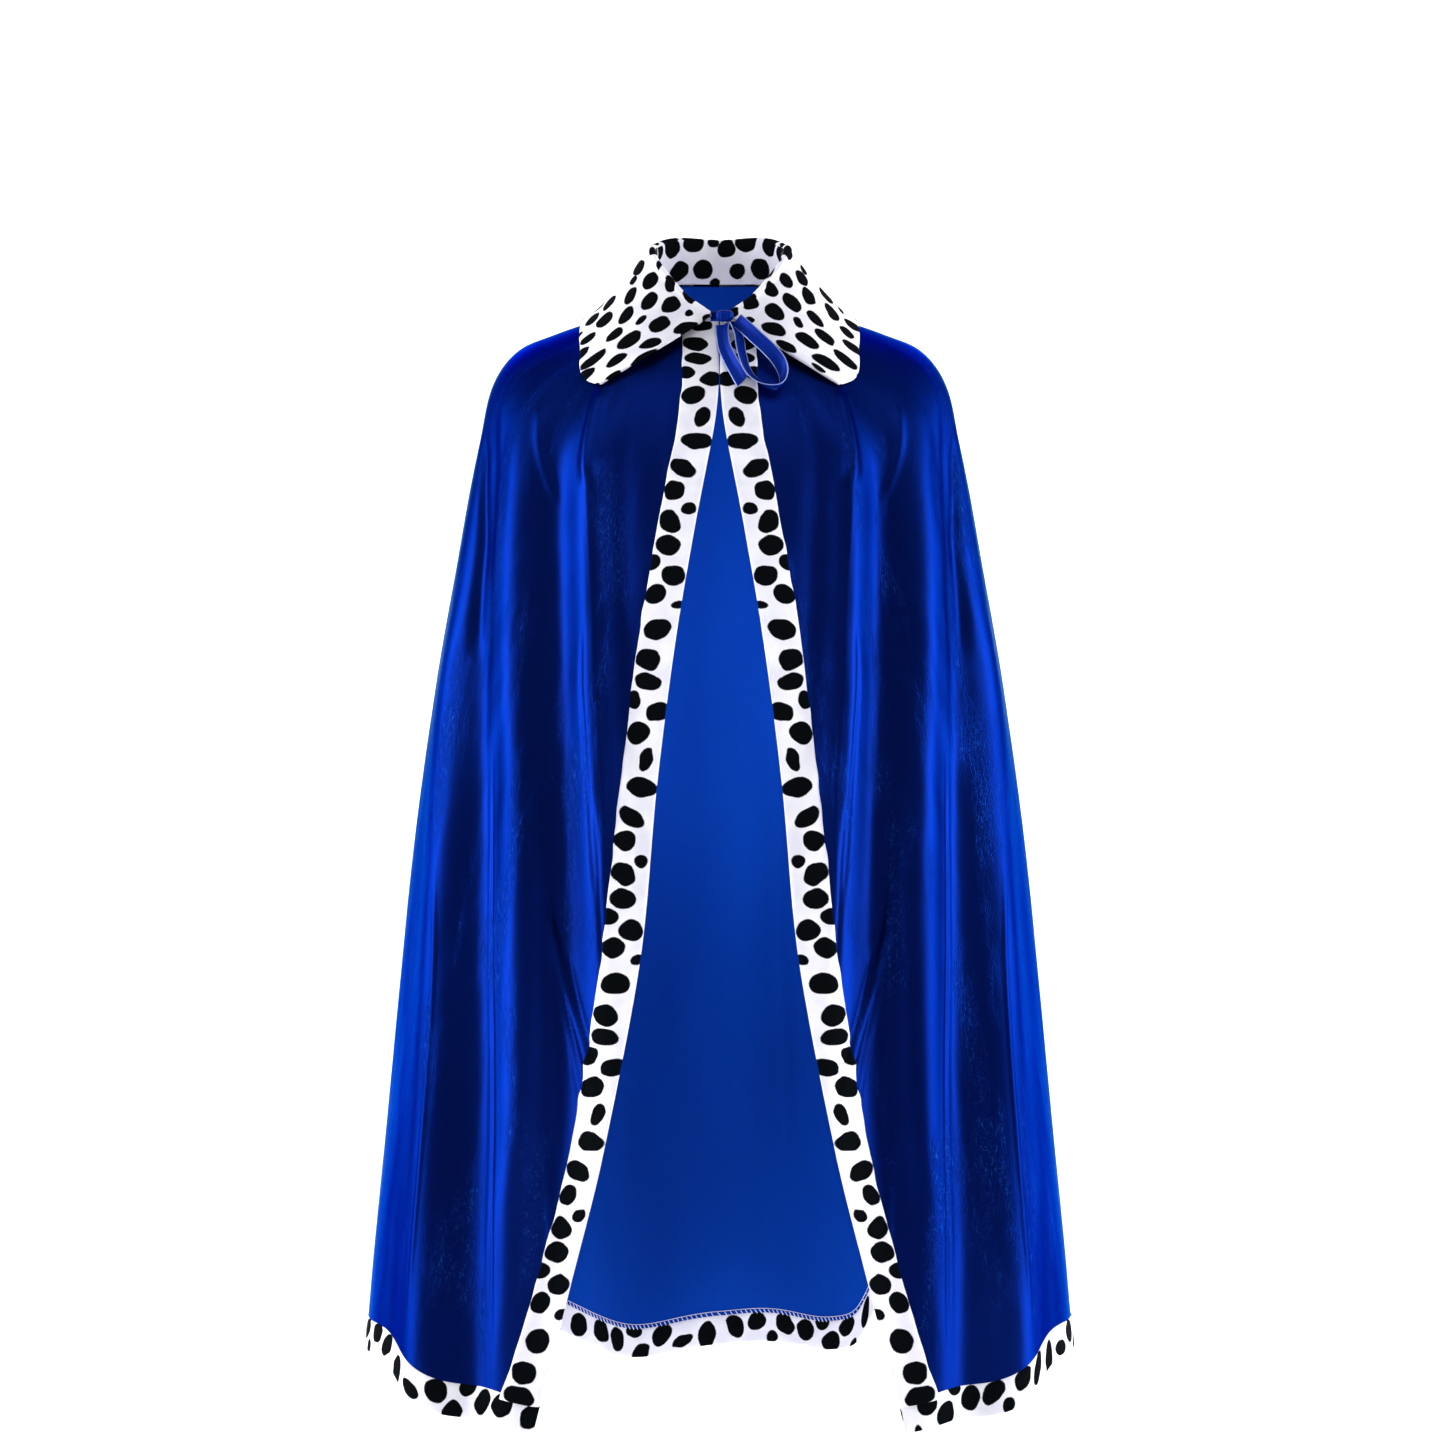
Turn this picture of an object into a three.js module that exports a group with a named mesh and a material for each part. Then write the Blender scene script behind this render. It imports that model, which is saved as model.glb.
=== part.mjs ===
// A child's king cape, worn over a pair of shoulders that isn't there: a velvet back and two velvet
// fronts that hang open, a spotted plush band sewn on along each front edge and all round the hem,
// a wide pointed collar of the same plush, and a satin ribbon tied at the neck.
// The body is a set of sections from the neck down to the hem. Each section is a rounded oval that
// dips towards the front and the back, and soft folds are added square to it.
// Millimetres. +Z is up, -Y is the wearer's front and +X the wearer's left. The origin is the middle
// of the neck opening, where the wearer's neck and shoulders carry the cape.
import * as THREE from "three";

const VELVET_WALL = 1.6;
const PLUSH_WALL = 2.4;
const RIBBON_WALL = 1;
const SEAM_GAP = 0.3;
const BAND_WIDTH = 25;
const RIBBON_WIDTH = 10;
// How square a section's plan is: 2 is an ellipse.
const PLAN_POWER = 2.3;

const ROWS_TO_SHOULDER = 7;
const ROWS_TO_HEM = 16;
const BACK_COLUMNS = 38;
const FRONT_COLUMNS = 22;
const BAND_COLUMNS = 2;
const HEM_BAND_ROWS = 2;
const COLLAR_COLUMNS = 38;

// A table's rows as objects with its columns' names.
const table = (columns, rows) =>
  rows.map((row) => Object.fromEntries(columns.map((column, i) => [column, row[i]])));

// One row for each section: path is the way down the cloth, half is half its width, front and back
// are its depths before and behind the origin, and edge is the front band's free edge, from the middle.
const SECTIONS = table(
  ["name", "path", "half", "front", "back", "zFront", "zSide", "zBack", "edge"],
  [
    ["neck", 0, 50, 48, 46, -20, 2, 16, 0.4],
    ["yoke", 30, 80, 63, 62, -41, -12, -3, 0.4],
    ["shoulder", 62, 112, 77, 78, -64, -23.5, -25, 0.4],
    ["point", 95, 139, 88, 92, -91, -35.5, -53, 3],
    ["arm", 130, 156, 96, 103, -122, -59, -85, 8.7],
    ["armpit", 172, 164, 102, 111, -162, -96, -124, 16.3],
    ["chest", 250, 179, 107, 119, -238, -172, -200, 29],
    ["waist", 350, 197, 110, 126, -336, -274, -300, 41.5],
    ["hip", 465, 212, 113, 134, -450, -395, -420, 52.5],
    ["thigh", 595, 225, 118, 144, -576, -530, -557, 76],
    ["knee", 690, 236, 122, 151, -668, -634, -662, 100.5],
    ["hem", 755, 242, 124, 155, -735, -699, -730, 119],
    ["band", 777, 244, 125, 157, -757, -721, -752, 124.5],
  ],
);
const SHOULDER_PATH = 95;
const HEM_PATH = 755;
const BAND_PATH = 777;

// The folds. Each is a ridge, or a trough where its depth is negative. The turns are degrees round
// from the middle of the back, where the fold passes the arm, the hip and the hem; spread is its
// half-width in degrees. Those of the fronts are alike on both sides.
const FRONT_FOLDS = [
  { name: "outer ridge", turns: [100, 116.5, 128], spread: 8.5, depths: [1, 7, 11] },
  { name: "outer trough", turns: [112, 131, 141], spread: 7.5, depths: [-2, -8, -12] },
  { name: "middle ridge", turns: [119, 142.5, 146.5], spread: 7, depths: [5, 9, 10] },
  { name: "deep trough", turns: [136, 153, 152], spread: 6.5, depths: [-7, -11, -9] },
  { name: "inner ridge", turns: [148.5, 160.5, 170], spread: 5.5, depths: [8, 9, 2] },
  { name: "edge trough", turns: [154.5, 167, 176], spread: 4.5, depths: [-5, -3, 2] },
];
const BACK_FOLDS = [
  { name: "right side trough", turns: [-82, -79, -77], spread: 7, depths: [0, -4, -6] },
  { name: "right side ridge", turns: [-66, -65, -63], spread: 8, depths: [1, 6, 10] },
  { name: "right blade trough", turns: [-51, -51, -50], spread: 8, depths: [-2, -6, -8] },
  { name: "right blade ridge", turns: [-36, -36, -37], spread: 8, depths: [2, 7, 11] },
  { name: "right spine trough", turns: [-22, -23, -25], spread: 7, depths: [-2, -5, -7] },
  { name: "right spine ridge", turns: [-8, -10, -12], spread: 7, depths: [1, 6, 9] },
  { name: "spine trough", turns: [3, 3, 2], spread: 6, depths: [-1, -5, -7] },
  { name: "left spine ridge", turns: [15, 16, 16], spread: 8, depths: [1, 6, 10] },
  { name: "left spine trough", turns: [29, 29, 31], spread: 7, depths: [-2, -6, -8] },
  { name: "left blade ridge", turns: [43, 42, 44], spread: 8, depths: [2, 7, 11] },
  { name: "left blade trough", turns: [57, 56, 57], spread: 7, depths: [-2, -5, -7] },
  { name: "left side ridge", turns: [69, 68, 69], spread: 7, depths: [1, 5, 9] },
  { name: "left side trough", turns: [81, 80, 79], spread: 6, depths: [0, -4, -5] },
];
const FOLD_PATHS = [130, 400, 755];
// The folds fade in between these two paths.
const FOLDS_FROM = 55;
const FOLDS_FULL = 165;

// Where the hem hangs lower or is drawn up. A higher power makes a flatter top with steeper sides.
const HEM_WAVES = [
  { name: "right corner dip", turn: -153, spread: 7, rise: -6, power: 2 },
  { name: "right front lift", turn: -115, spread: 12, rise: 10, power: 2 },
  { name: "right front dip", turn: -135, spread: 8, rise: -4, power: 2 },
  { name: "right side dip", turn: -72, spread: 14, rise: -8, power: 2 },
  { name: "right quarter lift", turn: -35, spread: 12, rise: 23, power: 2 },
  { name: "right dip", turn: -12, spread: 8, rise: -12, power: 2 },
  { name: "middle lift", turn: 5, spread: 7, rise: 3, power: 2 },
  { name: "left dip", turn: 15, spread: 6, rise: -6, power: 2 },
  { name: "left quarter lift", turn: 37, spread: 13.5, rise: 46, power: 6 },
  { name: "left side dip", turn: 72, spread: 13, rise: -8, power: 2 },
  { name: "left front lift", turn: 115, spread: 12, rise: 10, power: 2 },
  { name: "left front dip", turn: 135, spread: 8, rise: -4, power: 2 },
  { name: "left corner dip", turn: 153, spread: 7, rise: -6, power: 2 },
];
const HEM_WAVE_REACH = 260;

// One row for each place round the collar. turn is where it is sewn to the neck, rise and lean
// place the top of its roll over that seam, edgeTurn and edgePath are where its outer edge lies on
// the body, and bulge rounds the fall between them.
const COLLAR = [
  { name: "back", turn: 0, rise: 32, lean: 1, edgeTurn: 0, edgePath: 60, bulge: 5 },
  { name: "back quarter", turn: 48, rise: 34, lean: -2, edgeTurn: 46, edgePath: 52, bulge: 4 },
  { name: "side", turn: 90, rise: 36, lean: -3, edgeTurn: 87, edgePath: 43, bulge: 2 },
  { name: "front quarter", turn: 130, rise: 31, lean: -5, edgeTurn: 117, edgePath: 54, bulge: 5 },
  { name: "opening", turn: 160, rise: 15, lean: -2, edgeTurn: 133, edgePath: 71, bulge: 7 },
  { name: "end", turn: 175, rise: 6, lean: 0, edgeTurn: 141.5, edgePath: 72, bulge: 6 },
];
const COLLAR_LIFT = 2.9;
const ROLL_HALF_WIDTH = 2.8;
const ROLL_DROP = 4;
// How far the stand's foot and its middle lie inside the line from the seam to the roll.
const FOOT_INSET = 0.4;
const STAND_INSET = 0.8;
const FALL_STEPS = 6;

// The ribbon's loop and its free end, as stations down from the knot. x is from the middle, path is
// the way down the fronts under it, lift is its height over them, and tilt turns its width up from
// lying flat (0) to standing on edge (90).
const LOOP = [
  { x: 10.6, path: 8.5, lift: 10, tilt: 42 },
  { x: 20.5, path: 26, lift: 13, tilt: 34 },
  { x: 30.5, path: 41, lift: 13.5, tilt: 34 },
  { x: 37.8, path: 52, lift: 12, tilt: 42 },
  { x: 41.2, path: 60, lift: 9.5, tilt: 60 },
  { x: 41, path: 67, lift: 7.6, tilt: 74 },
  { x: 37.6, path: 70.5, lift: 7.2, tilt: 76 },
  { x: 31, path: 69, lift: 6.8, tilt: 62 },
  { x: 25, path: 65, lift: 6.6, tilt: 50 },
  { x: 20, path: 59, lift: 6.6, tilt: 46 },
  { x: 16.4, path: 49, lift: 6.6, tilt: 46 },
  { x: 14.2, path: 36, lift: 6.8, tilt: 44 },
  { x: 12.6, path: 22, lift: 7, tilt: 44 },
  { x: 9.2, path: 11, lift: 8, tilt: 46 },
];
const FREE_END = [
  { x: 1.8, path: 9.6, lift: 6.6, tilt: 12 },
  { x: 2, path: 20, lift: 5.6, tilt: 12 },
  { x: 3.4, path: 33, lift: 5.4, tilt: 14 },
  { x: 7.6, path: 47, lift: 5.4, tilt: 16 },
  { x: 12, path: 58, lift: 5.4, tilt: 14 },
  { x: 15, path: 65, lift: 5.4, tilt: 12 },
];
const STATION_STEPS = 3;
// A knot's squareness is a power: 1 is an ellipsoid, and less is more like a box.
const KNOT = { x: 3.6, y: -58.2, z: -17.3, width: 14, depth: 8.5, height: 8.5, power: 0.75 };
// The lengths that come from inside the neck, past the collar's ends, to the knot.
const STAY = [
  { x: 17, y: -37 },
  { x: 10.5, y: -39.2 },
  { x: 5.4, y: -41.6 },
  { x: 2.3, y: -46 },
  { x: 1.4, y: -53.7 },
];
const STAY_Z = -15.3;
const STAY_HEIGHT = 5.6;

const fabric = (name, color, roughness) =>
  new THREE.MeshStandardMaterial({ name, color, roughness, metalness: 0 });
const VELVET = fabric("velvet", 0x0a22b4, 0.45);
const PLUSH = fabric("plush", 0xeceaf2, 0.9);
const SATIN = fabric("satin", 0x12309a, 0.35);

const rad = THREE.MathUtils.degToRad;
const smooth = (x) => x * x * (3 - 2 * x);

// A smooth curve through one column of a table, read at one value of another.
function read(rows, along, key, at) {
  const last = rows.length - 1;
  let i = 0;
  while (i < last - 1 && at > rows[i + 1][along]) i += 1;
  const row = (k) => rows[THREE.MathUtils.clamp(k, 0, last)];
  const [before, from, to, after] = [row(i - 1), row(i), row(i + 1), row(i + 2)];
  const step = to[along] - from[along];
  const slope = (a, b) => ((b[key] - a[key]) / (b[along] - a[along])) * step;
  const s = (at - from[along]) / step;
  const start = slope(before, to);
  const end = slope(from, after);
  const rise = to[key] - from[key];
  const [square, cube] = [3 * rise - 2 * start - end, start + end - 2 * rise];
  return from[key] + s * (start + s * (square + s * cube));
}

// A fold's place or depth at one path: through its three values, and level above the first.
function along(values, path) {
  const rows = FOLD_PATHS.map((at, i) => ({ at, value: values[i] }));
  return read(rows, "at", "value", THREE.MathUtils.clamp(path, FOLD_PATHS[0], BAND_PATH));
}

// How far the folds push the cloth out at one place. They fade in below the shoulders.
function foldDepth(turn, path) {
  const fade = smooth(THREE.MathUtils.clamp((path - FOLDS_FROM) / (FOLDS_FULL - FOLDS_FROM), 0, 1));
  const side = Math.abs(turn);
  const sum = (folds, at) =>
    folds.reduce((total, fold) => {
      const away = (at - along(fold.turns, path)) / fold.spread;
      return total + along(fold.depths, path) * Math.exp(-away * away);
    }, 0);
  return fade * (sum(FRONT_FOLDS, side) + sum(BACK_FOLDS, turn));
}

function hemWave(turn, path) {
  const near = smooth(THREE.MathUtils.clamp(1 - (HEM_PATH - path) / HEM_WAVE_REACH, 0, 1));
  return HEM_WAVES.reduce((total, wave) => {
    const away = Math.abs(turn - wave.turn) / wave.spread;
    return total + near * wave.rise * Math.exp(-(away ** wave.power));
  }, 0);
}

// The middle of the cloth, by degrees round from the middle of the back and the way down it.
function cloth(turn, path) {
  const at = (key) => read(SECTIONS, "path", key, path);
  const [width, ahead] = [at("half"), Math.abs(turn) > 90];
  const depth = ahead ? at("front") : at("back");
  const [sine, cosine] = [Math.abs(Math.sin(rad(turn))), Math.abs(Math.cos(rad(turn)))];
  const x = Math.sign(turn) * sine ** (2 / PLAN_POWER);
  const y = (ahead ? -1 : 1) * cosine ** (2 / PLAN_POWER);
  const out = new THREE.Vector3(
    (Math.sign(x) * Math.abs(x) ** (PLAN_POWER - 1)) / width,
    (Math.sign(y) * Math.abs(y) ** (PLAN_POWER - 1)) / depth,
    0,
  ).normalize();
  const dip = (at(ahead ? "zFront" : "zBack") - at("zSide")) * smooth(cosine);
  const z = at("zSide") + dip + hemWave(turn, path);
  return new THREE.Vector3(x * width, y * depth, z).addScaledVector(out, foldDepth(turn, path));
}

// The way that the cloth's outer side faces.
function facing(turn, path) {
  const [dTurn, dPath] = [0.4, 1.5];
  const turned = Math.min(Math.max(turn, -179.5), 179.5);
  const upper = Math.max(path - dPath, 0);
  const round = cloth(turned + dTurn, path).sub(cloth(turned - dTurn, path));
  const down = cloth(turn, upper + 2 * dPath).sub(cloth(turn, upper));
  return new THREE.Vector3().crossVectors(round, down).normalize();
}

// The turn at which a front, measured from the middle of the front, is so far to the side.
function frontTurn(fromMiddle, path) {
  const share = fromMiddle / read(SECTIONS, "path", "half", path);
  return 180 - THREE.MathUtils.radToDeg(Math.asin(share ** (PLAN_POWER / 2)));
}

// A closed wall round a grid of points: outer and inner sides and a rim on all four edges.
function wall(name, points, normals, thickness, material) {
  const [rows, columns] = [points.length, points[0].length];
  const corners = [];
  for (const side of [0.5, -0.5]) {
    for (let r = 0; r < rows; r += 1) {
      for (let c = 0; c < columns; c += 1) {
        corners.push(points[r][c].clone().addScaledVector(normals[r][c], side * thickness));
      }
    }
  }
  const outer = (r, c) => r * columns + c;
  const inner = (r, c) => rows * columns + r * columns + c;
  const faces = [];
  // Each four corners are split along the shorter way across.
  const quad = (a, b, c, d) => {
    const shorter = corners[a].distanceTo(corners[c]) < corners[b].distanceTo(corners[d]);
    faces.push(...(shorter ? [a, c, b, a, d, c] : [a, d, b, b, d, c]));
  };
  const end = columns - 1;
  for (let r = 0; r < rows - 1; r += 1) {
    for (let c = 0; c < end; c += 1) {
      quad(outer(r, c), outer(r + 1, c), outer(r + 1, c + 1), outer(r, c + 1));
      quad(inner(r, c), inner(r, c + 1), inner(r + 1, c + 1), inner(r + 1, c));
    }
    quad(outer(r, 0), inner(r, 0), inner(r + 1, 0), outer(r + 1, 0));
    quad(outer(r, end), outer(r + 1, end), inner(r + 1, end), inner(r, end));
  }
  for (let c = 0; c < end; c += 1) {
    quad(outer(0, c), outer(0, c + 1), inner(0, c + 1), inner(0, c));
    quad(outer(rows - 1, c), inner(rows - 1, c), inner(rows - 1, c + 1), outer(rows - 1, c + 1));
  }
  const geometry = new THREE.BufferGeometry();
  const positions = corners.flatMap((corner) => corner.toArray());
  geometry.setAttribute("position", new THREE.Float32BufferAttribute(positions, 3));
  geometry.setIndex(faces);
  geometry.computeVertexNormals();
  const mesh = new THREE.Mesh(geometry, material);
  mesh.name = name;
  return mesh;
}

const steps = (from, to, count) =>
  Array.from({ length: count + 1 }, (_, i) => from + ((to - from) * i) / count);
const bodyPaths = [
  ...steps(0, SHOULDER_PATH, ROWS_TO_SHOULDER),
  ...steps(SHOULDER_PATH, HEM_PATH, ROWS_TO_HEM).slice(1),
];
const hemBandPaths = steps(HEM_PATH + SEAM_GAP, BAND_PATH, HEM_BAND_ROWS);
// Half a seam's gap at the side seams, in degrees round the section.
const sideGap = (path) => THREE.MathUtils.radToDeg(SEAM_GAP / 2 / read(SECTIONS, "path", "back", path));

// A piece that lies in the cloth's own surface: turnsAt gives its columns at each path.
function piece(name, paths, turnsAt, thickness, material) {
  const grid = paths.map((path) => turnsAt(path).map((turn) => [turn, path]));
  const points = grid.map((row) => row.map(([turn, path]) => cloth(turn, path)));
  const normals = grid.map((row) => row.map(([turn, path]) => facing(turn, path)));
  return wall(name, points, normals, thickness, material);
}

const backTurns = (path) => steps(-90 + sideGap(path), 90 - sideGap(path), BACK_COLUMNS);

// A front's columns from its side seam to its band, and the band's from there to the free edge.
function frontTurns(path, from) {
  const edge = read(SECTIONS, "path", "edge", path);
  return steps(90 + sideGap(path), frontTurn(edge + from, path), FRONT_COLUMNS);
}
function bandTurns(path) {
  const edge = read(SECTIONS, "path", "edge", path);
  return steps(edge + BAND_WIDTH, edge, BAND_COLUMNS).map((fromMiddle) => frontTurn(fromMiddle, path));
}
// The same columns on the other side, in the order that keeps the outer side out.
const mirrored = (turns) => turns.map((turn) => -turn).reverse();

function sidePieces(side, flip) {
  const front = (path) => flip(frontTurns(path, BAND_WIDTH + SEAM_GAP));
  const band = (path) => flip(bandTurns(path));
  const hem = (path) => flip([...frontTurns(path, BAND_WIDTH), ...bandTurns(path).slice(1)]);
  return [
    piece(`front_${side}`, bodyPaths, front, VELVET_WALL, VELVET),
    piece(`front_band_${side}`, bodyPaths, band, PLUSH_WALL, PLUSH),
    piece(`hem_band_${side}`, hemBandPaths, hem, PLUSH_WALL, PLUSH),
  ];
}

// One column of the collar: up from the neck seam, over the roll and down to its outer edge.
function collarColumn(turn) {
  const at = (key) => read(COLLAR, "turn", key, Math.abs(turn));
  const seam = cloth(turn, 0);
  const out = facing(turn, 0).setZ(0).normalize();
  const up = new THREE.Vector3(0, 0, 1);
  const from = (outward, upward) => seam.clone().addScaledVector(out, outward).addScaledVector(up, upward);
  const [rise, lean] = [at("rise"), at("lean")];
  const drop = Math.min(ROLL_DROP, rise / 3);
  const rollOut = from(lean + ROLL_HALF_WIDTH, rise - drop);
  // Down the fall the height over the cloth fades from the roll's to the lift at the outer edge.
  const atStart = rollOut.clone().sub(seam).addScaledVector(facing(turn, 0), -COLLAR_LIFT);
  const fall = (share) => {
    const side = Math.abs(turn) + (at("edgeTurn") - Math.abs(turn)) * share;
    const [under, path] = [Math.sign(turn) * side, at("edgePath") * share];
    const lift = COLLAR_LIFT + at("bulge") * Math.sin(Math.PI * share);
    return cloth(under, path)
      .addScaledVector(facing(under, path), lift)
      .addScaledVector(atStart, (1 - share) ** 2);
  };
  const foot = PLUSH_WALL / 2 + SEAM_GAP;
  return [
    from(-FOOT_INSET, foot),
    from(lean / 2 - STAND_INSET, (foot + rise - drop) / 2),
    from(lean - ROLL_HALF_WIDTH, rise - drop),
    from(lean, rise),
    ...steps(0, 1, FALL_STEPS).map(fall),
  ];
}

// The way that each point of a grid faces, from its neighbours.
function gridNormals(points) {
  const [rows, columns] = [points.length, points[0].length];
  return points.map((row, r) =>
    row.map((_, c) => {
      const down = points[Math.min(r + 1, rows - 1)][c].clone().sub(points[Math.max(r - 1, 0)][c]);
      const across = row[Math.min(c + 1, columns - 1)].clone().sub(row[Math.max(c - 1, 0)]);
      return new THREE.Vector3().crossVectors(across, down).normalize();
    }),
  );
}

function collar() {
  const end = COLLAR[COLLAR.length - 1].turn;
  const columns = steps(-end, end, COLLAR_COLUMNS).map(collarColumn);
  const points = columns[0].map((_, r) => columns.map((column) => column[r]));
  return wall("collar", points, gridNormals(points), PLUSH_WALL, PLUSH);
}

const byStation = (rows) => rows.map((row, station) => ({ station, ...row }));

// A ribbon that hangs over the fronts, from its stations.
function hangingRibbon(name, table) {
  const rows = byStation(table);
  const last = rows.length - 1;
  const place = (at) => {
    const [x, path, lift] = ["x", "path", "lift"].map((key) => read(rows, "station", key, at));
    const turn = Math.sign(x) * frontTurn(Math.abs(x), path);
    const out = facing(turn, path);
    return { centre: cloth(turn, path).addScaledVector(out, lift), out };
  };
  const points = steps(0, last, last * STATION_STEPS).map((at) => {
    const { centre, out } = place(at);
    const next = place(Math.min(at + 0.1, last)).centre;
    const down = next.sub(place(Math.max(at - 0.1, 0)).centre).normalize();
    const tilt = rad(read(rows, "station", "tilt", at));
    const flat = new THREE.Vector3().crossVectors(out, down).normalize();
    const across = flat.multiplyScalar(Math.cos(tilt)).addScaledVector(out, Math.sin(tilt));
    return [-0.5, 0, 0.5].map((share) => centre.clone().addScaledVector(across, share * RIBBON_WIDTH));
  });
  return wall(name, points, gridNormals(points), RIBBON_WALL, SATIN);
}

function stay(name, side) {
  const rows = byStation(STAY);
  const last = rows.length - 1;
  const points = steps(0, last, last * STATION_STEPS).map((at) => {
    const [x, y] = ["x", "y"].map((key) => read(rows, "station", key, at));
    return [0.5, -0.5].map((share) => new THREE.Vector3(side * x, y, STAY_Z + side * share * STAY_HEIGHT));
  });
  return wall(name, points, gridNormals(points), RIBBON_WALL, SATIN);
}

function knot() {
  const geometry = new THREE.SphereGeometry(1, 18, 10);
  const position = geometry.getAttribute("position");
  const squared = (c) => 0.5 * Math.sign(c) * Math.abs(c) ** KNOT.power;
  for (let i = 0; i < position.count; i += 1) {
    position.setXYZ(i, squared(position.getX(i)), squared(position.getY(i)), squared(position.getZ(i)));
  }
  geometry.scale(KNOT.width, KNOT.depth, KNOT.height);
  geometry.computeVertexNormals();
  geometry.translate(KNOT.x, KNOT.y, KNOT.z);
  const mesh = new THREE.Mesh(geometry, SATIN);
  mesh.name = "ribbon_knot";
  return mesh;
}

const group = new THREE.Group();
group.add(piece("back", bodyPaths, backTurns, VELVET_WALL, VELVET));
group.add(piece("hem_band_back", hemBandPaths, backTurns, PLUSH_WALL, PLUSH));
group.add(...sidePieces("left", (turns) => turns));
group.add(...sidePieces("right", mirrored));
group.add(collar());
group.add(knot(), hangingRibbon("ribbon_loop", LOOP), hangingRibbon("ribbon_end", FREE_END));
group.add(stay("ribbon_stay_left", 1), stay("ribbon_stay_right", -1));

export default group;
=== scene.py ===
"""A child's king cape in blue velvet with spotted plush bands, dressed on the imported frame.

The cloth is worked out again here, finer than in the solids: the same sections and folds, with
creases, rounded edges and stitches added. The tables are in millimetres.
"""
import math

import bpy
import numpy as np
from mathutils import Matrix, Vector


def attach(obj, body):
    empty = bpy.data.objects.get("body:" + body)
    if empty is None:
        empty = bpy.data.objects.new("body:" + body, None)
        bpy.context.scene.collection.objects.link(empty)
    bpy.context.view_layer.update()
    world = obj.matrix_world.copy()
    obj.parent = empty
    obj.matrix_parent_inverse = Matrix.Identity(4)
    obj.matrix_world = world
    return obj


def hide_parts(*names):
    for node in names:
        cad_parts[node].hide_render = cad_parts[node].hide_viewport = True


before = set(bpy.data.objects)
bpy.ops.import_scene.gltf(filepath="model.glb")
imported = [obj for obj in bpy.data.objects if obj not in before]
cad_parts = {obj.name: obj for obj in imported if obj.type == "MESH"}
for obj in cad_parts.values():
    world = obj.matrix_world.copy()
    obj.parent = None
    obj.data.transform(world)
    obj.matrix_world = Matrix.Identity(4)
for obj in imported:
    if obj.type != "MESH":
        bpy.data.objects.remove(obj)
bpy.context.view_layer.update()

MM = 0.001
BAND_WIDTH = 25
RIBBON_WIDTH = 10
PLAN_POWER = 2.3
HEM_PATH = 755
BAND_PATH = 777
VELVET_WALL = 1.3
PLUSH_WALL = 2.6
RIBBON_WALL = 0.5
GAP = 0.3

# Down the cloth: the path, half the width, the depths before and behind, the heights, and the
# front band's free edge from the middle.
SECTION_COLUMNS = ("path", "half", "front", "back", "z_front", "z_side", "z_back", "edge")
SECTIONS = np.array([
    (0, 50, 48, 46, -20, 2, 16, 0.4),
    (30, 80, 63, 62, -41, -12, -3, 0.4),
    (62, 112, 77, 78, -64, -23.5, -25, 0.4),
    (95, 139, 88, 92, -91, -35.5, -53, 3),
    (130, 156, 96, 103, -122, -59, -85, 8.7),
    (172, 164, 102, 111, -162, -96, -124, 16.3),
    (250, 179, 107, 119, -238, -172, -200, 29),
    (350, 197, 110, 126, -336, -274, -300, 41.5),
    (465, 212, 113, 134, -450, -395, -420, 52.5),
    (595, 225, 118, 144, -576, -530, -557, 76),
    (690, 236, 122, 151, -668, -634, -662, 100.5),
    (755, 242, 124, 155, -735, -699, -730, 119),
    (777, 244, 125, 157, -757, -721, -752, 124.5),
])

# Folds: the turns where a fold passes the arm, the hip and the hem, its half-width in degrees, and
# its depths there.
FOLD_PATHS = (130, 400, 755)
FOLDS_FROM = 55
FOLDS_FULL = 165
FRONT_FOLDS = (
    ((100, 116.5, 128), 8.5, (1, 7, 11)),
    ((111, 131, 141), 7.5, (-0.8, -6.8, -12)),
    ((122.5, 142.5, 146.5), 7, (3.0, 7.6, 9.5)),
    ((138.5, 153, 152), 6.5, (-5.5, -10, -9)),
    ((150.7, 160.5, 170), 5.5, (6.5, 8.8, 2)),
    ((157, 167, 176), 4.5, (-4, -3, 2)),
)
BACK_FOLDS = (
    ((-82, -79, -77), 7, (0, -4, -6)),
    ((-66, -65, -63), 8, (1, 6, 10)),
    ((-51, -51, -50), 8, (-2, -6, -8)),
    ((-36, -36, -37), 8, (2, 7, 11)),
    ((-22, -23, -25), 7, (-2, -5, -7)),
    ((-8, -10, -12), 7, (1, 6, 9)),
    ((3, 3, 2), 6, (-1, -5, -7)),
    ((15, 16, 16), 8, (1, 6, 10)),
    ((29, 29, 31), 7, (-2, -6, -8)),
    ((43, 42, 44), 8, (2, 7, 11)),
    ((57, 56, 57), 7, (-2, -5, -7)),
    ((69, 68, 69), 7, (1, 5, 9)),
    ((81, 80, 79), 6, (0, -4, -5)),
)
# The hem's lifts and dips: turn, half-width, rise and power.
HEM_WAVES = (
    (-153, 7, -6, 2),
    (-115, 12, 10, 2),
    (-135, 8, -4, 2),
    (-72, 14, -8, 2),
    (-35, 12, 23, 2),
    (-12, 8, -12, 2),
    (5, 7, 3, 2),
    (15, 6, -6, 2),
    (37, 13.5, 46, 6),
    (72, 13, -8, 2),
    (115, 12, 10, 2),
    (135, 8, -4, 2),
    (153, 7, -6, 2),
)
HEM_WAVE_REACH = 260


def smooth(x):
    x = np.clip(x, 0, 1)
    return x * x * (3 - 2 * x)


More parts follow.
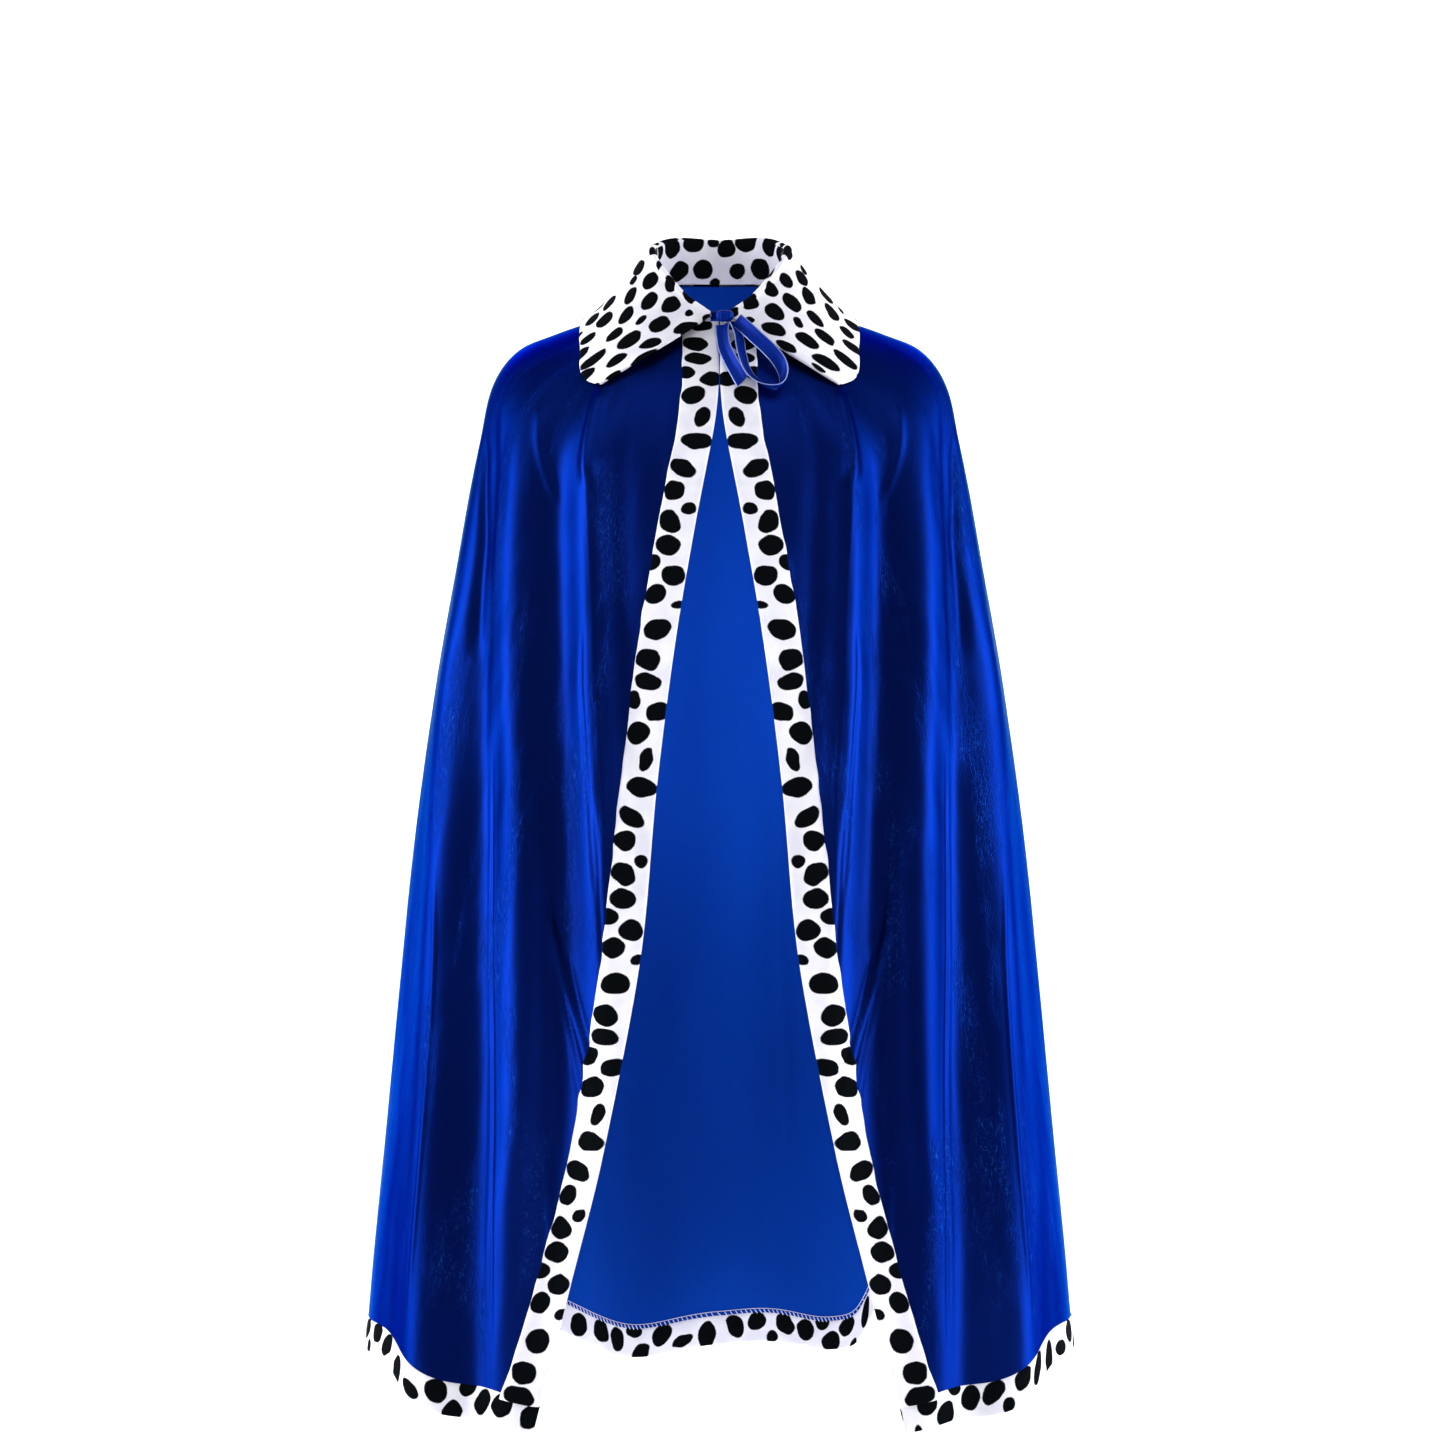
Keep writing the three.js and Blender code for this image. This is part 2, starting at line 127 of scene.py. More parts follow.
def curve(xs, ys, at):
    """A smooth curve through the points xs, ys, read at each value of at."""
    xs, ys = np.asarray(xs, float), np.asarray(ys, float)
    last = len(xs) - 1
    i = np.clip(np.searchsorted(xs, at) - 1, 0, last - 1)
    before, after = np.maximum(i - 1, 0), np.minimum(i + 2, last)
    step = xs[i + 1] - xs[i]
    start = (ys[i + 1] - ys[before]) / (xs[i + 1] - xs[before]) * step
    end = (ys[after] - ys[i]) / (xs[after] - xs[i]) * step
    rise = ys[i + 1] - ys[i]
    s = (at - xs[i]) / step
    return ys[i] + s * start + s**2 * (3 * rise - 2 * start - end) + s**3 * (start + end - 2 * rise)


def section(column, path):
    return curve(SECTIONS[:, 0], SECTIONS[:, SECTION_COLUMNS.index(column)], path)


def along(values, path):
    return curve(FOLD_PATHS, values, np.clip(path, FOLD_PATHS[0], BAND_PATH))


def fold_depth(turn, path):
    total = np.zeros(np.broadcast(turn, path).shape)
    for folds, at in ((FRONT_FOLDS, np.abs(turn)), (BACK_FOLDS, turn)):
        for turns, spread, depths in folds:
            total = total + along(depths, path) * np.exp(-(((at - along(turns, path)) / spread) ** 2))
    return total * smooth((path - FOLDS_FROM) / (FOLDS_FULL - FOLDS_FROM))


def hem_wave(turn, path):
    near = smooth(1 - (HEM_PATH - path) / HEM_WAVE_REACH)
    return near * sum(
        rise * np.exp(-(np.abs((turn - at) / spread) ** power)) for at, spread, rise, power in HEM_WAVES
    )


def cloth(turn, path):
    """The middle of the cloth, by degrees round from the middle of the back and the way down it."""
    turn, path = np.broadcast_arrays(np.asarray(turn, float), np.asarray(path, float))
    ahead = np.abs(turn) > 90
    width = section("half", path)
    depth = np.where(ahead, section("front", path), section("back", path))
    sine, cosine = np.abs(np.sin(np.radians(turn))), np.abs(np.cos(np.radians(turn)))
    x = np.sign(turn) * sine ** (2 / PLAN_POWER)
    y = np.where(ahead, -1, 1) * cosine ** (2 / PLAN_POWER)
    out_x = np.sign(x) * np.abs(x) ** (PLAN_POWER - 1) / width
    out_y = np.sign(y) * np.abs(y) ** (PLAN_POWER - 1) / depth
    length = np.hypot(out_x, out_y)
    fold = fold_depth(turn, path)
    side = section("z_side", path)
    end = np.where(ahead, section("z_front", path), section("z_back", path))
    z = side + (end - side) * smooth(cosine) + hem_wave(turn, path)
    return np.stack([x * width + fold * out_x / length, y * depth + fold * out_y / length, z], -1)


LAST_TURN = 179.5


def unit(v):
    return v / np.maximum(np.linalg.norm(v, axis=-1, keepdims=True), 1e-12)


def facing(turn, path):
    """The way that the cloth's outer side faces."""
    d_turn, d_path = 0.4, 1.5
    turned = np.clip(turn, -LAST_TURN, LAST_TURN)
    upper = np.maximum(np.asarray(path, float) - d_path, 0)
    across = cloth(turned + d_turn, path) - cloth(turned - d_turn, path)
    down = cloth(turn, upper + 2 * d_path) - cloth(turn, upper)
    return unit(np.cross(across, down))


def front_turn(from_middle, path):
    share = np.abs(from_middle) / section("half", path)
    return 180 - np.degrees(np.arcsin(np.clip(share, 0, 1) ** (PLAN_POWER / 2)))


# Creases too fine for the solids: the side (0 is both fronts, 1 the back), the paths and the turns
# that each runs through, its half-width and its depth in millimetres.
CREASES = (
    (0, (68, 86, 106, 150), (142, 145, 147.5, 151), 5.5, 4.5),
    (0, (75, 120, 170, 224, 300), (140.6, 148.2, 151.8, 155.0, 157.8), 1.3, 0.5),
    (0, (235, 272, 312, 352, 377, 440), (152.6, 153.6, 155.6, 157.6, 158.5, 160.9), 1.5, -1.15),
    (0, (280, 330, 350, 420), (157.6, 159.6, 160.5, 161.9), 1.4, 0.6),
    (0, (340, 385, 440, 500, 576, 640), (141.5, 143.5, 146, 146.9, 147.5, 147.5), 9.0, 0.9),
    (0, (330, 392, 501, 633, 755), (130.8, 133.8, 138.2, 141.6, 144.2), 1.5, -0.8),
    (0, (330, 392, 501, 633, 755), (129.6, 132.6, 137.0, 140.4, 143.1), 2.4, 0.4),
    (0, (330, 392, 501, 633, 755), (131.9, 134.9, 139.2, 142.6, 145.2), 2.4, 0.3),
    (0, (100, 135, 168), (126, 132.5, 140.5), 4.6, 1.6),
    (0, (90, 165, 220, 275, 330, 420), (104, 116.5, 123.4, 126.8, 130, 134), 9.0, 1.0),
    (0, (400, 467, 527, 590), (149.0, 150.9, 152.5, 154.0), 2.0, 0.8),
    (0, (350, 392, 431, 480), (158.2, 160.1, 161.2, 162.4), 1.6, -1.0),
    (0, (430, 465, 495, 530, 562), (149.3, 152.2, 155.5, 159.3, 162.0), 3.2, 2.3),
    (0, (452, 495, 530, 568), (153.0, 157.3, 160.8, 163.4), 1.8, -1.3),
    (0, (470, 520, 545, 580), (151.4, 155.8, 157.6, 160.2), 2.4, 1.1),
    (0, (560, 615, 690), (150.0, 152.7, 155.0), 3.0, 1.0),
    (0, (150, 192, 220, 248, 300), (101, 109, 114, 116.5, 120), 8.0, -3.2),
    (0, (420, 504, 640, 740), (117.8, 122.0, 124.0, 125.0), 2.2, 0.9),
    (1, (90, 420), (-70, -68), 6.0, -1.2),
    (1, (140, 500), (-44, -45), 5.0, 1.0),
    (1, (80, 330), (-28, -31), 6.0, 1.5),
    (1, (120, 300, 700), (-14, -16, -20), 3.0, -1.2),
    (1, (100, 420), (-3, -5), 6.0, 1.2),
    (1, (260, 690), (9, 10), 3.0, -1.2),
    (1, (90, 400), (22, 24), 6.0, -1.4),
    (1, (340, 720), (37, 38), 3.0, 1.1),
    (1, (110, 460), (50, 49), 5.0, 1.3),
    (1, (200, 620), (63, 62), 3.5, -1.1),
    (1, (90, 380), (76, 75), 6.0, 1.3),
)
# Slow unevenness of the hanging cloth: the lattice's steps round and down, and the height, in
# millimetres.
UNEVENNESS = ((46, 230, 1.1), (23, 120, 0.45), (11, 60, 0.12))
LATTICE_SEED = 7
LATTICE_SIZE = 64
# Where the unevenness sets in below the neck, and how far it calms down at the hem and the side seams.
UNEVEN_FROM = 60
UNEVEN_RISE = 160
CALM_HEM = 60
CALM_HEM_SHARE = 0.35
CALM_SEAM_DEGREES = 6
# A crease fades over a fifth of its length at each end.
CREASE_FADE = 5


def lattice_noise(u, v, seed):
    """Smooth noise between -1 and 1 with one random height for each whole step."""
    heights = np.random.default_rng(seed).uniform(-1, 1, (LATTICE_SIZE, LATTICE_SIZE))
    i, j = np.floor(u).astype(int), np.floor(v).astype(int)
    s, t = smooth(u - i), smooth(v - j)
    corner = [[heights[(j + b) % LATTICE_SIZE, (i + a) % LATTICE_SIZE] for a in (0, 1)] for b in (0, 1)]
    upper = corner[0][0] * (1 - s) + corner[0][1] * s
    lower = corner[1][0] * (1 - s) + corner[1][1] * s
    return upper * (1 - t) + lower * t


def fine_relief(turn, path):
    """Creases and unevenness of the velvet, alike on both fronts."""
    turn, path = np.broadcast_arrays(np.asarray(turn, float), np.asarray(path, float))
    across = np.where(np.abs(turn) > 90, np.abs(turn), turn)
    wide = section("half", path) * math.pi / 180
    total = np.zeros(turn.shape)
    for part, paths, turns, spread, depth in CREASES:
        share = (path - paths[0]) / (paths[-1] - paths[0])
        if len(paths) > 2:
            at = curve(paths, turns, np.clip(path, paths[0], paths[-1]))
        else:
            at = np.interp(path, paths, turns)
        ends = smooth(share * CREASE_FADE) * smooth((1 - share) * CREASE_FADE)
        here = (np.abs(turn) > 90) if part == 0 else (np.abs(turn) <= 90)
        total = total + here * depth * ends * np.exp(-(((across - at) * wide / spread) ** 2))
    ripple = sum(
        height * lattice_noise(across * wide / round_step, path / down_step, LATTICE_SEED + k)
        for k, (round_step, down_step, height) in enumerate(UNEVENNESS)
    )
    above_hem = (HEM_PATH + 10 - path) / CALM_HEM
    edge = smooth((path - UNEVEN_FROM) / UNEVEN_RISE) * smooth(above_hem + CALM_HEM_SHARE)
    seam = smooth(np.abs(np.abs(turn) - 90) / CALM_SEAM_DEGREES)
    return total + ripple * edge * seam


def grid_normals(points):
    down = np.gradient(points, axis=0)
    across = np.gradient(points, axis=1)
    return unit(np.cross(across, down))


def relieved(turn, path):
    """Points of the finely creased cloth, and the way that they face."""
    points = cloth(turn, path)
    points = points + facing(turn, path) * fine_relief(turn, path)[..., None]
    return points, grid_normals(points)


# A wall is rounded over this share of its thickness, at these shares of that way.
ROUNDED_SHARE = 0.6
ROUNDING_STEPS = np.array([0.04, 0.15, 0.35, 0.65])
THINNEST_SHARE = 0.1


def edged(start, end, count, thickness):
    """Places from start to end, with closer ones near both ends for a rounded edge."""
    inner = np.linspace(start, end, count)
    near = ROUNDING_STEPS * thickness * ROUNDED_SHARE
    way = math.copysign(1, end - start)
    return np.concatenate([[start], start + way * near, inner[1:-1], (end - way * near)[::-1], [end]])


def profile(places, thickness):
    """The share of the full thickness at each place, from its distance to the two ends."""
    reach = thickness * ROUNDED_SHARE
    share = np.clip(np.minimum(np.abs(places - places[0]), np.abs(places - places[-1])) / reach, 0, 1)
    return np.maximum(np.sqrt(1 - (1 - share) ** 2), THINNEST_SHARE)


def placed(name, mesh):
    """A piece of the cape made from a mesh."""
    piece = bpy.data.objects.new(name, mesh)
    bpy.context.scene.collection.objects.link(piece)
    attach(piece, "root")
    return piece


def wall(name, points, normals, half_thick, uv, materials):
    """A closed cloth wall round a grid of points. materials are the outer and the inner face's."""
    rows, columns = points.shape[:2]
    outer = points + normals * half_thick[..., None]
    inner = points - normals * half_thick[..., None]
    verts = np.concatenate([outer.reshape(-1, 3), inner.reshape(-1, 3)]) * MM
    index = np.arange(rows * columns).reshape(rows, columns)
    a, b, c, d = index[:-1, :-1], index[1:, :-1], index[1:, 1:], index[:-1, 1:]
    front = np.stack([a, d, c, b], -1).reshape(-1, 4)
    back = np.stack([a, b, c, d], -1).reshape(-1, 4) + rows * columns
    border = np.concatenate([index[:, 0], index[-1, 1:], index[-2::-1, -1], index[0, -2:0:-1]])
    following = np.roll(border, -1)
    shift = rows * columns
    rim = np.stack([border, following, following + shift, border + shift], -1)
    faces = np.concatenate([front, back, rim])
    mesh = bpy.data.meshes.new(name)
    mesh.from_pydata(verts.tolist(), [], faces.tolist())
    layer = mesh.uv_layers.new(name="cloth")
    flat_uv = np.concatenate([uv.reshape(-1, 2)] * 2) * MM
    loops = np.empty(len(mesh.loops), int)
    mesh.loops.foreach_get("vertex_index", loops)
    layer.data.foreach_set("uv", flat_uv[loops].ravel())
    for material in dict.fromkeys(materials):
        mesh.materials.append(material)
    which = np.zeros(len(faces), int)
    if materials[0] != materials[1]:
        which[len(front):len(front) + len(back)] = 1
    mesh.polygons.foreach_set("material_index", which)
    mesh.polygons.foreach_set("use_smooth", np.ones(len(faces), bool))
    mesh.update()
    return placed(name, mesh)


# Materials


class Nodes:
    """Adds and joins the nodes of one material."""

    def __init__(self, name):
        self.material = bpy.data.materials.new(name)
        self.material.use_nodes = True
        self.tree = self.material.node_tree
        self.shader = self.tree.nodes["Principled BSDF"]

    def add(self, kind, inputs=None, **settings):
        node = self.tree.nodes.new(kind)
        for key, value in settings.items():
            setattr(node, key, value)
        for key, value in (inputs or {}).items():
            self.put(node.inputs[key], value)
        return node

    def put(self, socket, value):
        if isinstance(value, bpy.types.NodeSocket):
            self.tree.links.new(value, socket)
        else:
            socket.default_value = value

    def math(self, operation, *values):
        node = self.add("ShaderNodeMath", operation=operation)
        for socket, value in zip(node.inputs, values):
            self.put(socket, value)
        return node.outputs[0]

    def vector(self, operation, *values, output=0):
        node = self.add("ShaderNodeVectorMath", dict(enumerate(values)), operation=operation)
        return node.outputs[output]

    def uv(self, scale_u, scale_v):
        source = self.add("ShaderNodeUVMap", uv_map="cloth").outputs[0]
        return self.vector("MULTIPLY", source, (scale_u, scale_v, 1))

    def noise(self, vector, scale=1, detail=2, roughness=0.5, distortion=0):
        inputs = {"Vector": vector, "Scale": scale, "Detail": detail}
        inputs.update({"Roughness": roughness, "Distortion": distortion})
        return self.add("ShaderNodeTexNoise", inputs).outputs[0]

    def steps(self, value, low, high, to_low=0.0, to_high=1.0):
        node = self.add(
            "ShaderNodeMapRange",
            {"Value": value, "From Min": low, "From Max": high, "To Min": to_low, "To Max": to_high},
            interpolation_type="SMOOTHSTEP",
        )
        return node.outputs[0]

    def mix(self, share, first, second):
        node = self.add("ShaderNodeMix", data_type="RGBA")
        self.put(node.inputs[0], share)
        for socket, value in ((node.inputs[6], first), (node.inputs[7], second)):
            self.put(socket, value)
        return node.outputs[2]

    def bump(self, height, distance, strength=1.0, after=None):
        node = self.add("ShaderNodeBump", {"Height": height, "Distance": distance, "Strength": strength})
        if after:
            self.put(node.inputs["Normal"], after)
        return node.outputs[0]

    def shade(self, **values):
        for key, value in values.items():
            self.put(self.shader.inputs[key.replace("_", " ")], value)
        return self.material


def velvet_material():
    n = Nodes("velvet")
    broad = n.noise(n.uv(9, 2.2), detail=3, roughness=0.55)
    grain = n.noise(n.uv(470, 230), detail=4, roughness=0.65, distortion=1.2)
    area = n.noise(n.uv(34, 7), detail=4, roughness=0.6)
    flecks = n.math("MULTIPLY", n.steps(grain, 0.55, 0.64), n.steps(area, 0.53, 0.66))
    pile = n.noise(n.uv(2600, 1800), detail=2)
    tone = n.steps(broad, 0.3, 0.72)
    base = n.mix(tone, (0.0012, 0.0078, 0.10, 1), (0.0022, 0.0137, 0.16, 1))
    colour = n.mix(n.math("MULTIPLY", flecks, 0.3), base, (0.016, 0.10, 0.5, 1))
    rough = n.math("ADD", n.math("MULTIPLY", flecks, 0.12), 0.4)
    bumped = n.bump(grain, 0.0009, n.steps(area, 0.45, 0.66, 0.1, 0.75), n.bump(pile, 0.0002, 0.4))
    return n.shade(
        Base_Color=colour,
        Metallic=1.0,
        Roughness=rough,
        Normal=bumped,
        Specular_IOR_Level=0.02,
        Specular_Tint=(0.0, 0.39, 0.75, 1),
        Sheen_Weight=0.02,
        Sheen_Roughness=0.3,
        Sheen_Tint=(0.05, 0.15, 1, 1),
    )


def knit_back_material():
    n = Nodes("velvet_inside")
    soft = n.noise(n.uv(7, 1.6), detail=3)
    knit = n.noise(n.uv(1500, 900), detail=2)
    colour = n.mix(n.steps(soft, 0.3, 0.7), (0.0005, 0.028, 0.26, 1), (0.001, 0.05, 0.41, 1))
    return n.shade(
        Base_Color=colour,
        Roughness=0.85,
        Normal=n.bump(knit, 0.0003, 0.4),
        Specular_IOR_Level=0.04,
        Sheen_Weight=0.03,
        Sheen_Roughness=0.5,
        Sheen_Tint=(0.02, 0.2, 1, 1),
    )


FAR_FROM_SPOTS = 9.0
SPOT_BLUR = 0.22


def plush_material(name, tile, spots, ragged):
    """White plush printed with a repeat of black spots.

    tile is the repeat's size and ragged the wander of the spots' edges, in millimetres.
    """
    n = Nodes(name)
    place = n.uv(1000, 1000)
    bend = n.add("ShaderNodeTexNoise", {"Vector": place, "Scale": 0.07, "Detail": 1.5}).outputs["Color"]
    shift = n.vector("MULTIPLY", n.vector("SUBTRACT", bend, (0.5, 0.5, 0.5)), (ragged, ragged, 0))
    place = n.vector("ADD", place, shift)
    nearest = FAR_FROM_SPOTS
    half = (tile[0] / 2, tile[1] / 2, 1)
    for u, v, length, width, slope in spots:
        away = n.vector("WRAP", n.vector("SUBTRACT", place, (u, v, 0)), half, tuple(-h for h in half))
        rotation = {"Vector": away, "Angle": math.radians(-slope)}
        turned = n.add("ShaderNodeVectorRotate", rotation, rotation_type="Z_AXIS").outputs[0]
        oval = n.vector("MULTIPLY", turned, (2 / length, 2 / width, 0))
        reach = n.vector("LENGTH", oval, output="Value")
        # Measured from the edge in millimetres, so that all edges blur alike.
        edge = n.math("MULTIPLY", n.math("SUBTRACT", reach, 1.0), width / 2)
        nearest = n.math("MINIMUM", edge, nearest)
    pile = n.noise(n.uv(1900, 1900), detail=2)
    frayed = n.math("ADD", nearest, n.steps(pile, 0.2, 0.8, -0.25, 0.25))
    spot = n.steps(frayed, -SPOT_BLUR, SPOT_BLUR, 1, 0)
    shade_noise = n.noise(n.uv(45, 45), detail=2)
    white = n.mix(n.steps(shade_noise, 0.3, 0.7), (0.74, 0.73, 0.84, 1), (0.85, 0.85, 0.92, 1))
    black = n.mix(pile, (0.001, 0.0015, 0.002, 1), (0.003, 0.004, 0.005, 1))
    return n.shade(
        Base_Color=n.mix(spot, white, black),
        Roughness=0.92,
        Normal=n.bump(pile, 0.00035, 0.5),
        Specular_IOR_Level=0.015,
    )


# The print's repeats: each spot's place across and along the cloth, length, width and slope.
BAND_REPEAT = (36, 238)
BAND_SPOTS = (
    (12, 4, 18, 14.5, 10),
    (9, 25, 17, 14.5, 30),
    (11, 40, 19, 12, 12),
    (3, 53, 12, 11, 90),
    (20, 60, 16, 13, -10),
    (8.5, 74, 17, 14, -20),
    (16, 92, 16.5, 10, 95),
    (15, 111, 20.5, 13, 16),
    (10, 131, 20, 11.5, 33),
    (7, 147, 14.5, 13.5, 20),
    (19, 160, 10.5, 9, 20),
    (8, 169, 18.5, 13, 50),
    (9.5, 185, 17, 13, 25),
    (1, 197, 13, 11, 0),
    (16.5, 206, 16, 12.5, 20),
    (7, 218, 14.5, 14, 60),
    (23, 226, 9, 7, 0),
)
COLLAR_REPEAT = (96, 88)
COLLAR_SPOTS = (
    (8, 9, 16, 14, 15),
    (27, 7, 16.5, 13.5, 5),
    (45, 12, 12, 10.5, -20),
    (61, 6, 16.5, 14, 40),
    (80, 10, 15, 12.5, -15),
    (17, 22, 9, 6.5, 10),
    (34, 25, 15, 13.5, 60),
    (52, 25, 8, 6, 0),
    (68, 22, 14, 11.5, 10),
    (88, 25, 16.5, 13.5, 30),
    (7, 38, 16.5, 13.5, -8),
    (23, 42, 13, 11.5, 35),
    (42, 42, 16.5, 13.5, 0),
    (60, 38, 15, 13.5, -30),
    (77, 40, 12, 10.5, 15),
    (93, 49, 8, 6, 0),
    (13, 56, 12, 10.5, 5),
    (31, 58, 16.5, 14, 20),
    (49, 57, 10, 7, -15),
    (66, 56, 16.5, 13.5, 12),
    (84, 58, 15, 13.5, 65),
    (5, 72, 14, 12.5, 20),
    (20, 75, 16.5, 12.5, -10),
    (41, 74, 14, 12.5, 30),
    (58, 73, 16, 13.5, 0),
    (76, 75, 16, 11.5, 10),
    (91, 76, 9, 7, 0),
)


def satin_material():
    n = Nodes("satin")
    weave = n.noise(n.uv(240, 2600), detail=2)
    across = n.add("ShaderNodeSeparateXYZ", {0: n.uv(1000, 1000)}).outputs[0]
    # The ribbon's colour turns paler along both of its edges.
    pale_edges = n.steps(n.math("ABSOLUTE", across), RIBBON_WIDTH / 2 - 0.8, RIBBON_WIDTH / 2 - 0.4)
    colour = n.mix(n.math("MULTIPLY", pale_edges, 0.75), (0.0008, 0.015, 0.21, 1), (0.3, 0.38, 0.75, 1))
    return n.shade(
        Base_Color=colour,
        Metallic=0.3,
        Roughness=0.42,
        Specular_IOR_Level=0.15,
        Anisotropic=0.4,
        Normal=n.bump(weave, 0.0001, 0.4),
        Specular_Tint=(0.25, 0.4, 1, 1),
    )


def thread_material():
    n = Nodes("thread")
    twist = n.noise(n.add("ShaderNodeTexCoord").outputs["Object"], scale=2500, detail=1)
    colour = n.mix(twist, (0.62, 0.62, 0.76, 1), (0.9, 0.9, 0.97, 1))
    return n.shade(Base_Color=colour, Roughness=0.7, Normal=n.bump(twist, 0.0001, 0.4))


VELVET = velvet_material()
KNIT_BACK = knit_back_material()
BAND_PLUSH = plush_material("plush_band", BAND_REPEAT, BAND_SPOTS, 5)
COLLAR_PLUSH = plush_material("plush_collar", COLLAR_REPEAT, COLLAR_SPOTS, 5)
SATIN = satin_material()
THREAD = thread_material()


# The body


def lengths_along(points):
    """How far each point of each row lies along its row."""
    step = np.linalg.norm(np.diff(points, axis=1), axis=-1)
    return np.concatenate([np.zeros((len(points), 1)), np.cumsum(step, axis=1)], axis=1)


# The velvet's pattern is measured round a cape of this radius.
MEAN_RADIUS = 200
BODY_ROWS = 190
BACK_COLUMNS = 221
FRONT_COLUMNS = 211
FRONT_BAND_ROWS = 300
FRONT_BAND_COLUMNS = 13
HEM_BAND_ROWS = 9
# How far the velvet runs down behind the hem band's edge, and under the front band's, how far the
# front band's edge wanders and at which steps, and how far the front band laps over the hem band.
UNDER_HEM = 4
UNDER_BAND = 1.6
EDGE_WANDER = 0.5
WANDER_STEP = 11
LAP = 4
LAP_RISE = 9


def body_piece(name, turns, paths, thickness, share, materials, uv=None, lift=0):
    points, normals = relieved(turns, paths)
    points = points + normals * np.broadcast_to(lift, turns.shape)[..., None]
    if uv is None:
        uv = np.stack([np.radians(turns) * MEAN_RADIUS, paths], -1)
    return wall(name, points, normals, share * thickness / 2, uv, materials)


def velvet_panel(name, turns, rows):
    paths = rows[:, None] * np.ones(turns.shape)
    share = profile(rows, VELVET_WALL)[:, None] * np.ones(turns.shape)
    return body_piece(name, turns, paths, VELVET_WALL, share, (VELVET, KNIT_BACK))


def make_back():
    rows = edged(0, HEM_PATH + UNDER_HEM, BODY_ROWS, VELVET_WALL)
    turns = np.linspace(-90, 90, BACK_COLUMNS)[None, :] * np.ones((len(rows), 1))
    return velvet_panel("back_velvet", turns, rows)


def make_front(side, name):
    rows = edged(0, HEM_PATH + UNDER_HEM, BODY_ROWS, VELVET_WALL)
    inner = front_turn(section("edge", rows) + BAND_WIDTH - UNDER_BAND, rows)
    turns = 90 + (inner[:, None] - 90) * np.linspace(0, 1, FRONT_COLUMNS)[None, :]
    if side < 0:
        turns = -turns[:, ::-1]
    return velvet_panel(name, turns, rows)


def make_front_band(side, name):
    rows = edged(0, HEM_PATH + LAP, FRONT_BAND_ROWS, PLUSH_WALL)
    columns = edged(BAND_WIDTH, 0, FRONT_BAND_COLUMNS, PLUSH_WALL)
    paths, from_edge = np.meshgrid(rows, columns, indexing="ij")
    wander = EDGE_WANDER * lattice_noise(paths / WANDER_STEP, paths * 0 + side, LATTICE_SEED)
    turns = front_turn(section("edge", paths) + from_edge + wander * smooth(from_edge / BAND_WIDTH), paths)
    share = np.minimum(profile(rows, PLUSH_WALL)[:, None], profile(columns, PLUSH_WALL)[None, :])
    uv = np.stack([BAND_WIDTH - from_edge, paths], -1)
    if side < 0:
        turns, paths, share, uv = -turns[:, ::-1], paths[:, ::-1], share[:, ::-1], uv[:, ::-1]
    lift = (PLUSH_WALL + GAP) * smooth((paths - HEM_PATH + LAP_RISE) / LAP_RISE)
    return body_piece(name, turns, paths, PLUSH_WALL, share, (BAND_PLUSH, BAND_PLUSH), uv, lift)


def make_hem_band(name, start, end, count, offset):
    """A run of the hem band between two places round: a number is a turn, and None the free edge.

    The print starts offset millimetres into its repeat.
    """
    rows = edged(HEM_PATH, BAND_PATH, HEM_BAND_ROWS, PLUSH_WALL)
    shares = np.linspace(0, 1, count)
    free = front_turn(section("edge", rows), rows)
    first = np.full(len(rows), start) if start is not None else -free
    last = np.full(len(rows), end) if end is not None else free
    turns = first[:, None] + (last - first)[:, None] * shares[None, :]
    paths = rows[:, None] * np.ones(turns.shape)
    share = profile(rows, PLUSH_WALL)[:, None] * np.ones(turns.shape)
    points = cloth(turns, paths)
    # The print runs along the strip, so its length is the pattern's way down.
    uv = np.stack([paths - HEM_PATH + 1, lengths_along(points) + offset], -1)
    return body_piece(name, turns, paths, PLUSH_WALL, share, (BAND_PLUSH, BAND_PLUSH), uv)


# The collar, from the neck seam over its roll to its outer edge

COLLAR_COLUMNS = ("turn", "rise", "lean", "edge_turn", "edge_path", "bulge")
COLLAR = np.array([
    (0, 32, 1, 0, 60, 5),
    (48, 34, -2, 46, 52, 4),
    (90, 36, -3, 87, 43, 2),
    (130, 31, -5, 117, 54, 5),
    (160, 15, -2, 133, 71, 7),
    (175, 6, 0, 141.5, 72, 6),
])
COLLAR_LIFT = 2.9
ROLL_HALF_WIDTH = 2.8
ROLL_DROP = 4
STAND_FOOT = 1.5
STAND_INSET = 0.4
STAND_HOLLOW = 0.9
STAND_ROWS = 12
ROLL_ROWS = 9
# The print changes from the stand to the fall between this row of the roll and a row close to it.
ROLL_ON_STAND = 3
PRINT_STEP = 0.01
FALL_SHARES = np.concatenate([np.linspace(0, 0.97, 27), [0.985, 0.994, 1.0]])
COLLAR_ACROSS = 181
COLLAR_END_ROUNDING = 1.2
COLLAR_EDGE_ROUNDING = [0.93, 0.8, 0.5, 0.12]


